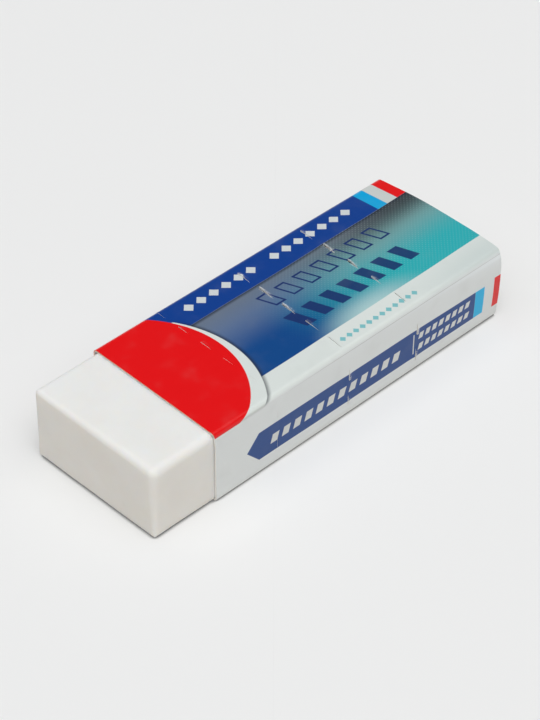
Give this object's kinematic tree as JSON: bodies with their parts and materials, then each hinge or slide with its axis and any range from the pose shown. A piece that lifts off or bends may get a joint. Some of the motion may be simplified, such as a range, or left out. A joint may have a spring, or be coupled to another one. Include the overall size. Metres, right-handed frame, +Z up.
{
  "type": "rubber eraser",
  "caption": "White vinyl eraser block in a printed folded-card sleeve with tear lines; the sleeve slides along the block and comes off its far end.",
  "frame": {"origin": "middle of the underside of the whole object, where the sleeve's bottom panel rests", "axes": "+X along the block from its bare working end to the sleeve's far end, +Z up through the wide printed face, -Y the single-layer narrow side"},
  "size_m": [0.0652, 0.0246, 0.0123],
  "materials": {
    "vinyl": "matte",
    "printed_card": "satin",
    "raw_card": "matte"
  },
  "bodies": {
    "eraser": {"eraser_block": "vinyl"},
    "sleeve": {"card_sleeve": "printed_card"}
  },
  "joints": [
    {"name": "sleeve_slide", "type": "slide", "parent": "eraser", "child": "sleeve", "axis": [1, 0, 0], "range_m": [-0.0106, 0.0525]}
  ]
}
